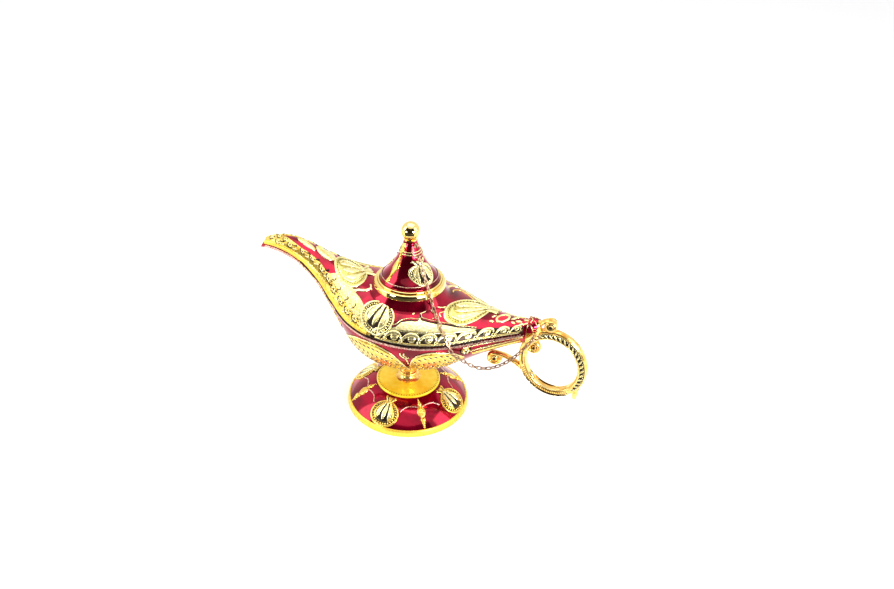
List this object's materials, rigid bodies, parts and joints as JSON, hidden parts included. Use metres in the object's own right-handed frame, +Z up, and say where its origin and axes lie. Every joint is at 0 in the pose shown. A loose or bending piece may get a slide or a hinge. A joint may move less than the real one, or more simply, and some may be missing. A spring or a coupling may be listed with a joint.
{
  "type": "oil lamp",
  "caption": "Boat-shaped footed oil lamp with a drawn-out spout, a loop handle and a lift-off conical lid on a safety chain.",
  "frame": {"origin": "centre of the foot's underside, on the axis of the foot, stem and lid", "axes": "+Z up along the axis of the foot and lid, the spout points to -X and the handle to +X"},
  "size_m": [0.198, 0.076, 0.122],
  "materials": {
    "enamel_relief": "glossy crimson enamel with pale gold relief",
    "relief_gold": "pale gold plate",
    "satin_gold": "satin gold plate",
    "polished_gold": "polished gold plate",
    "steel": "plain"
  },
  "bodies": {
    "lamp": {"foot": "enamel_relief", "foot_dish": "satin_gold", "stem": "satin_gold", "tie_rod": "steel", "foot_washer": "steel", "foot_nut": "steel", "bowl_washer": "steel", "bowl_nut": "steel", "lower_shell": "enamel_relief", "upper_shell": "enamel_relief", "seam_pins": "steel", "mouth_collar": "polished_gold", "handle": "satin_gold", "handle_pin": "steel", "handle_eye": "polished_gold", "chain_links": "polished_gold", "foot_relief": "relief_gold", "shell_relief": "relief_gold", "belly_relief": "relief_gold"},
    "lid": {"lid_sleeve": "polished_gold", "lid_brim": "polished_gold", "lid_cone": "enamel_relief", "finial": "polished_gold", "finial_nut": "steel", "lid_eye": "polished_gold", "lid_relief": "relief_gold"},
    "lid_ring": {"lid_jump_ring": "polished_gold"},
    "handle_ring": {"handle_jump_ring": "polished_gold"}
  },
  "joints": [
    {"name": "lid_lift", "type": "slide", "parent": "lamp", "child": "lid", "axis": [0, 0, 1], "range_m": [0, 0.03], "deforming": ["chain_links"]},
    {"name": "lid_ring_swing", "type": "hinge", "parent": "lid", "child": "lid_ring", "pos_m": [0.0046, -0.00386, 0.1102], "axis": [-0.6428, -0.766, 0], "range_deg": [-8, 70]},
    {"name": "handle_ring_swing", "type": "hinge", "parent": "lamp", "child": "handle_ring", "pos_m": [0.0753, -0.00658, 0.06915], "axis": [-0.8829, -0.4696, 0], "range_deg": [-15, 75]}
  ]
}
